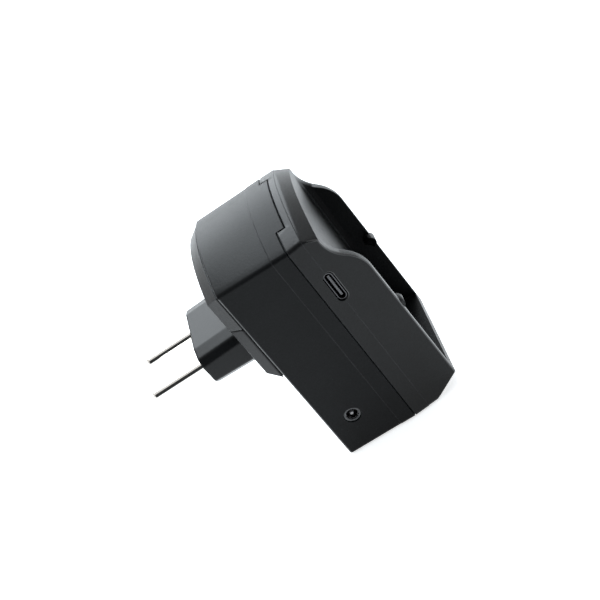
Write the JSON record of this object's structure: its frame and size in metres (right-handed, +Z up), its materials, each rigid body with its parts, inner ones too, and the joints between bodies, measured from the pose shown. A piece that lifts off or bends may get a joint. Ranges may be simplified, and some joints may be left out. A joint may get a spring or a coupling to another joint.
{
  "type": "battery charger",
  "caption": "Plug-in battery charger with an open bay under an arched end, a bevelled back plate and a plug block with round pins.",
  "frame": {"origin": "on the flat end it stands on, at mid-width, in the parting plane of the two housings", "axes": "+Z up to the arched end, +Y out of the back along the plug pins, -Y out of the battery bay, -X towards the side with the slot port and the round jack"},
  "size_m": [0.0446, 0.0803, 0.0802],
  "materials": {
    "housing": "fine satin",
    "back_plate": "fine satin",
    "pin_metal": "polished",
    "contact_brass": "satin",
    "steel": "satin",
    "dark_plastic": "satin",
    "board": "coated",
    "ferrite": "dull",
    "bobbin": "satin",
    "winding": "taped",
    "capacitor": "sleeved",
    "resistor": "coated",
    "safety_blue": "coated"
  },
  "bodies": {
    "root": {"front_housing": "housing", "rear_housing": "housing", "cover_plate": "back_plate", "plug_block": "back_plate", "plug_pin_near": "pin_metal", "plug_pin_far": "pin_metal", "pin_contact_springs": "contact_brass", "housing_screws": "steel", "usb_port_shell": "steel", "usb_port_tongue": "dark_plastic", "supply_jack_body": "dark_plastic", "supply_jack_pin": "steel", "supply_jack_spring": "contact_brass", "battery_contact_block": "dark_plastic", "battery_contacts": "contact_brass", "charge_board": "board", "charge_chip": "dark_plastic", "charge_coil": "ferrite", "board_link_pins": "contact_brass", "mains_board": "board", "transformer_core": "ferrite", "transformer_bobbin": "bobbin", "transformer_winding": "winding", "input_capacitors": "capacitor", "output_capacitor": "capacitor", "fuse_resistor": "resistor", "rectifier": "dark_plastic", "control_chip": "dark_plastic", "safety_capacitor": "safety_blue", "mains_choke": "ferrite"}
  },
  "joints": []
}
